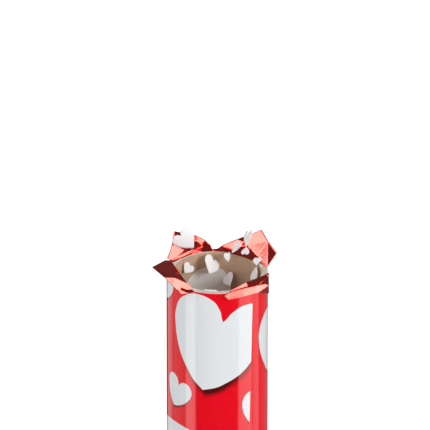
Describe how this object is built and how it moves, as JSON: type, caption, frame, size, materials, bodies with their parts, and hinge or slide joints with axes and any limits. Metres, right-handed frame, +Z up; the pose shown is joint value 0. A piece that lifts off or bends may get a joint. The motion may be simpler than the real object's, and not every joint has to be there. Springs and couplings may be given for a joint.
{
  "type": "confetti popper",
  "caption": "Hand-held twist-action confetti popper: a printed card tube on a twist handle with an air bottle and release valve inside, its mouth film torn open and paper hearts left in it.",
  "frame": {"origin": "centre of the base cap's flat underside, on the tube's axis", "axes": "+Z up the tube towards the mouth; the bare stretch of rim at the mouth faces -Y"},
  "size_m": [0.0616, 0.0517, 0.2932],
  "materials": {
    "printed_paper": "gloss",
    "kraft_board": "matte",
    "red_film": "polished",
    "confetti_paper": "matte",
    "liner_paper": "matte",
    "grey_board": "matte",
    "cap_plastic": "satin",
    "valve_plastic": "satin",
    "plug_plastic": "satin",
    "bottle_aluminium": "satin",
    "black_rubber": "matte"
  },
  "bodies": {
    "handle": {"base_cap": "cap_plastic", "handle_tube": "kraft_board", "handle_wrap": "printed_paper", "gas_bottle": "bottle_aluminium", "charge_bung": "black_rubber", "lower_packing_ring": "kraft_board", "upper_packing_ring": "kraft_board", "joint_sleeve": "kraft_board", "bayonet_collar": "valve_plastic"},
    "barrel": {"trigger_spider": "valve_plastic", "barrel_tube": "kraft_board", "barrel_wrap": "printed_paper", "confetti_liner": "liner_paper", "wall_hearts": "confetti_paper", "muzzle_foil": "red_film", "foil_hearts": "confetti_paper"},
    "plug": {"release_plug": "plug_plastic", "plug_o_ring": "black_rubber"},
    "wad": {"wad_disc": "grey_board", "confetti_load": "confetti_paper"}
  },
  "joints": [
    {"name": "twist", "type": "hinge", "parent": "handle", "child": "barrel", "pos_m": [0, 0, 0.1022], "axis": [0, 0, 1], "range_deg": [0, 70]},
    {"name": "plug_lift", "type": "slide", "parent": "barrel", "child": "plug", "axis": [0, 0, 1], "range_m": [0, 0.008]},
    {"name": "wad_travel", "type": "slide", "parent": "barrel", "child": "wad", "axis": [0, 0, 1], "range_m": [0, 0.153]}
  ]
}
